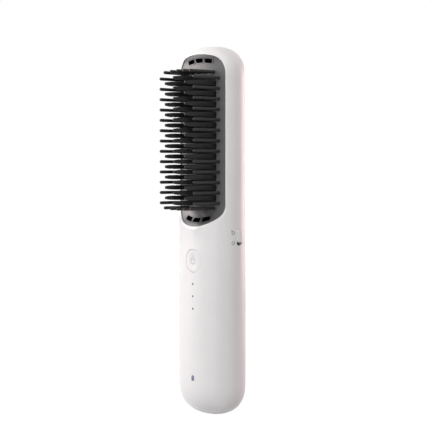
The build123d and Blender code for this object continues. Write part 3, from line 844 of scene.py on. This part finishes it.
@dataclass
class PowerButton(SubAssembly):
    """Dished cap with the printed power symbol, and its switch."""

    finishes: Mapping[str, Slot] = field(default_factory=lambda: {
        "power_button": Slot.BUTTON,
        "switch_plunger": Slot.DARK_PART,
        "power_switch": Slot.STEEL,
    })
    front_y: float = -0.02
    centre_z: float = 0.0906
    ring: float = 0.00194
    half_gap: float = 37.0
    bar_foot: float = -0.1
    bar_top: float = 1.59
    stroke: float = 0.00032

    def build(self, nodes: Mapping[str, Object], paint: Paint) -> list[Object]:
        """Builds the power symbol."""
        foot, top = self.ring * self.bar_foot, self.ring * self.bar_top
        strokes = [
            Stroke.arc((0, 0), self.ring, 90 + self.half_gap, 450 - self.half_gap, self.stroke),
            Stroke.line((0, foot), (0, top), self.stroke),
        ]
        place = Vector((0, self.front_y, self.centre_z))
        mark = PrintedMark(
            "power_symbol", "power_button", Body.BUTTON, Slot.BUTTON,
            place, Vector((1, 0, 0)), Vector((0, 0, 1)), strokes,
        )
        return [mark.build(nodes, paint)]


@dataclass
class LockSlider(SubAssembly):
    """Side slider with its inner plate and switch."""

    finishes: Mapping[str, Slot] = field(default_factory=lambda: {
        "lock_knob": Slot.BUTTON,
        "lock_carrier": Slot.CARRIER,
        "switch_lever": Slot.DARK_PART,
        "lock_switch": Slot.STEEL,
        "lock_board": Slot.BOARD,
    })


@dataclass
class PowerPack(SubAssembly):
    """Cells, boards and the charging port inside the grip."""

    finishes: Mapping[str, Slot] = field(default_factory=lambda: {
        "battery_cell_left": Slot.CELL,
        "battery_cell_right": Slot.CELL,
        "cell_link_top": Slot.STEEL,
        "cell_link_bottom": Slot.STEEL,
        "battery_holder": Slot.FRAME,
        "battery_pad": Slot.FOAM,
        "ear_screws": Slot.STEEL,
        "main_board": Slot.BOARD,
        "indicator_lights": Slot.DARK_PART,
        "board_screws": Slot.STEEL,
        "charge_port": Slot.STEEL,
        "port_tongue": Slot.DARK_PART,
        "charge_board": Slot.BOARD,
    })


@dataclass(frozen=True)
class Softbox:
    """A rectangular lamp that faces the brush."""

    name: str
    azimuth: float
    distance: float
    height: float
    width: float
    tall: float
    power: float
    colour: Colour = (1.0, 1.0, 1.0)
    aim: float = 0.105

    def build(self) -> None:
        """Places the lamp."""
        data = bpy.data.lights.new(self.name, "AREA")
        data.shape = "RECTANGLE"
        data.size = self.width
        data.size_y = self.tall
        data.energy = self.power
        data.color = self.colour
        lamp = add_object(self.name, data)
        lamp.location = around(self.azimuth, self.distance, self.height)
        aim = Vector((0, 0, self.aim)) - lamp.location
        lamp.rotation_euler = aim.to_track_quat("-Z", "Y").to_euler()
        log.info("lamp %s", self.name)


@dataclass
class Studio:
    """Floor, surroundings and lamps."""

    floor_drop: float = 0.0001
    floor_half: float = 4.0
    floor_colour: Colour = (0.6, 0.6, 0.6)
    floor_white: float = 0.93
    floor_glow: float = 1.08
    ambient: float = 0.15
    lamps: Sequence[Softbox] = (
        Softbox("key_left", -60.0, 0.95, 0.4, 0.5, 0.5, 7.3, (1.0, 0.91, 0.905)),
        Softbox("key_front", 5.0, 0.95, 0.4, 0.5, 0.5, 1.75, (0.87, 1.0, 1.0)),
        Softbox("high_right", 45.0, 0.65, 0.8, 0.2, 0.2, 3.8, (1.0, 0.93, 0.92)),
        Softbox("back_right", 170.0, 1.0, 0.15, 0.45, 0.5, 5.3, (1.0, 0.72, 0.74)),
        Softbox("back_left", -145.0, 1.0, 0.15, 0.6, 0.5, 3.0),
        Softbox("top", 20.0, 0.15, 1.0, 0.2, 0.2, 0.8, (1.0, 0.9, 0.9)),
    )

    def floor(self, base: float) -> Object:
        """The floor.

        Args:
            base: height of the brush's lowest point.

        Returns:
            The floor's mesh.
        """
        half = self.floor_half
        mesh = bmesh.new()
        corners = [(-half, -half), (half, -half), (half, half), (-half, half)]
        mesh.faces.new([mesh.verts.new((x, y, base - self.floor_drop)) for x, y in corners])
        data = bpy.data.meshes.new("floor")
        mesh.to_mesh(data)
        mesh.free()
        floor = add_object("floor", data)
        data.materials.append(self.floor_material())
        floor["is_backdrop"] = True
        return floor

    def floor_material(self) -> Material:
        """Pale floor that the camera sees as nearly white, with the shadow kept."""
        shader = Shader("studio_floor")
        matt = shader.node("ShaderNodeBsdfDiffuse", {}, {"Color": (*self.floor_colour, 1.0)})
        glow = {"Color": WHITE, "Strength": self.floor_glow}
        white = shader.node("ShaderNodeEmission", {}, glow)
        inputs = {0: self.seen(shader) * self.floor_white, 1: matt.outputs[0], 2: white.outputs[0]}
        surface = shader.node("ShaderNodeMixShader", {}, inputs)
        shader.node("ShaderNodeOutputMaterial", {}, {"Surface": surface.outputs[0]})
        return shader.material

    @staticmethod
    def seen(shader: Shader) -> Value:
        """1 where the camera, a reflection or a clear piece looks, 0 for light."""
        path = shader.node("ShaderNodeLightPath")
        kinds = ("Camera", "Glossy", "Transmission")
        rays = [Value(shader, path.outputs[f"Is {kind} Ray"]) for kind in kinds]
        return shader.between(rays[0] + rays[1] + rays[2], 0.0, 1.0)

    def surroundings(self) -> None:
        """Even pale light from all round, white where the camera or a reflection looks."""
        world = bpy.data.worlds.new("studio")
        bpy.context.scene.world = world
        shader = Shader("studio", world)
        dim = {"Color": WHITE, "Strength": self.ambient}
        light = shader.node("ShaderNodeBackground", {}, dim)
        white = shader.node("ShaderNodeBackground", {}, {**dim, "Strength": 1.0})
        inputs = {0: self.seen(shader), 1: light.outputs[0], 2: white.outputs[0]}
        mixed = shader.node("ShaderNodeMixShader", {}, inputs)
        shader.node("ShaderNodeOutputWorld", {}, {"Surface": mixed.outputs[0]})

    def build(self, base: float) -> None:
        """Sets up the whole studio.

        Args:
            base: height of the brush's lowest point.
        """
        self.floor(base)
        self.surroundings()
        for lamp in self.lamps:
            lamp.build()
        settings = bpy.context.scene.view_settings
        settings.view_transform = "Standard"


@dataclass(frozen=True)
class PhotoCamera:
    """The photograph's viewpoint."""

    azimuth: float = 48.0
    distance: float = 0.699
    height: float = 0.1443
    lens: float = 98.8
    sensor: float = 36.0
    aim_right: float = 0.0023
    aim_height: float = 0.1163
    nearest: float = 0.01
    farthest: float = 20.0

    def build(self) -> Object:
        """Makes the camera and gives it to the scene.

        Returns:
            The camera.
        """
        data = bpy.data.cameras.new("photo_camera")
        data.lens = self.lens
        data.sensor_width = self.sensor
        data.clip_start = self.nearest
        data.clip_end = self.farthest
        camera = add_object("photo_camera", data)
        camera.location = around(self.azimuth, self.distance, self.height)
        turn = math.radians(self.azimuth)
        right = Vector((math.cos(turn), math.sin(turn), 0))
        target = right * self.aim_right + Vector((0, 0, self.aim_height))
        camera.rotation_euler = (target - camera.location).to_track_quat("-Z", "Y").to_euler()
        bpy.context.scene.camera = camera
        return camera


def main() -> None:
    """Dresses the CAD frame and builds the scene around it."""
    logging.basicConfig(level=logging.INFO, format="%(name)s: %(message)s")
    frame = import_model()
    cad_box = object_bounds()
    nodes = frame["nodes"]
    paint = Paint()
    for assembly in (Housing(), CombHead(), PowerButton(), LockSlider(), PowerPack()):
        assembly.dress(nodes, paint)
        for piece in assembly.build(nodes, paint):
            log.info("%s added", piece.name)
    Studio().build(cad_box[0].z)
    PhotoCamera().build()


if __name__ == "__main__":
    main()
